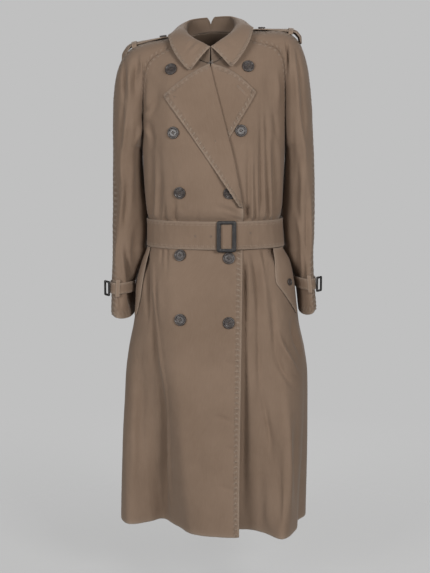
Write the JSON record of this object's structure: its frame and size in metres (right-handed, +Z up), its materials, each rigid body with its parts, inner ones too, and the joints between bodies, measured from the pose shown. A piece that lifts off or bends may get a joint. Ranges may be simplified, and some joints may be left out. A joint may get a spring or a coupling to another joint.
{
  "type": "trench coat",
  "caption": "Long double-breasted cotton trench coat, worn shape with no wearer: raglan sleeves, shoulder straps, turned-down collar, wide lapels, tied-in belt, wrist straps and pocket flaps.",
  "frame": {"origin": "base of the neck, between the shoulders, where the wearer carries the coat", "axes": "+Z up, -Y towards the coat's front, +X towards the wearer's left"},
  "size_m": [0.52, 0.3452, 1.2139],
  "materials": {
    "coat_cloth": "cotton gabardine, matt with a faint sheen on the folds",
    "horn": "dark horn-like resin, softly polished",
    "buckle_cover": "near-black leather, satin",
    "wire": "bright wire"
  },
  "bodies": {
    "root": {"front_right": "coat_cloth", "front_left": "coat_cloth", "back": "coat_cloth", "sleeve_right_front": "coat_cloth", "sleeve_right_back": "coat_cloth", "sleeve_left_front": "coat_cloth", "sleeve_left_back": "coat_cloth", "lapel_right": "coat_cloth", "lapel_left": "coat_cloth", "collar_leaf": "coat_cloth", "collar_stand": "coat_cloth", "epaulette_right": "coat_cloth", "epaulette_left": "coat_cloth", "epaulette_loop_right": "coat_cloth", "epaulette_loop_left": "coat_cloth", "epaulette_button_right": "horn", "epaulette_button_left": "horn", "button_right_1": "horn", "button_left_1": "horn", "button_right_2": "horn", "button_left_2": "horn", "button_right_3": "horn", "button_left_3": "horn", "button_right_4": "horn", "button_left_4": "horn", "button_right_5": "horn", "button_left_5": "horn", "belt": "coat_cloth", "belt_buckle": "buckle_cover", "cuff_strap_right": "coat_cloth", "cuff_strap_left": "coat_cloth", "cuff_loop_right": "coat_cloth", "cuff_loop_left": "coat_cloth", "cuff_buckle_right": "buckle_cover", "cuff_buckle_left": "buckle_cover", "pocket_flap_right": "coat_cloth", "pocket_flap_left": "coat_cloth", "pocket_button_right": "horn", "pocket_button_left": "horn", "hook": "wire", "eye": "wire"}
  },
  "joints": []
}
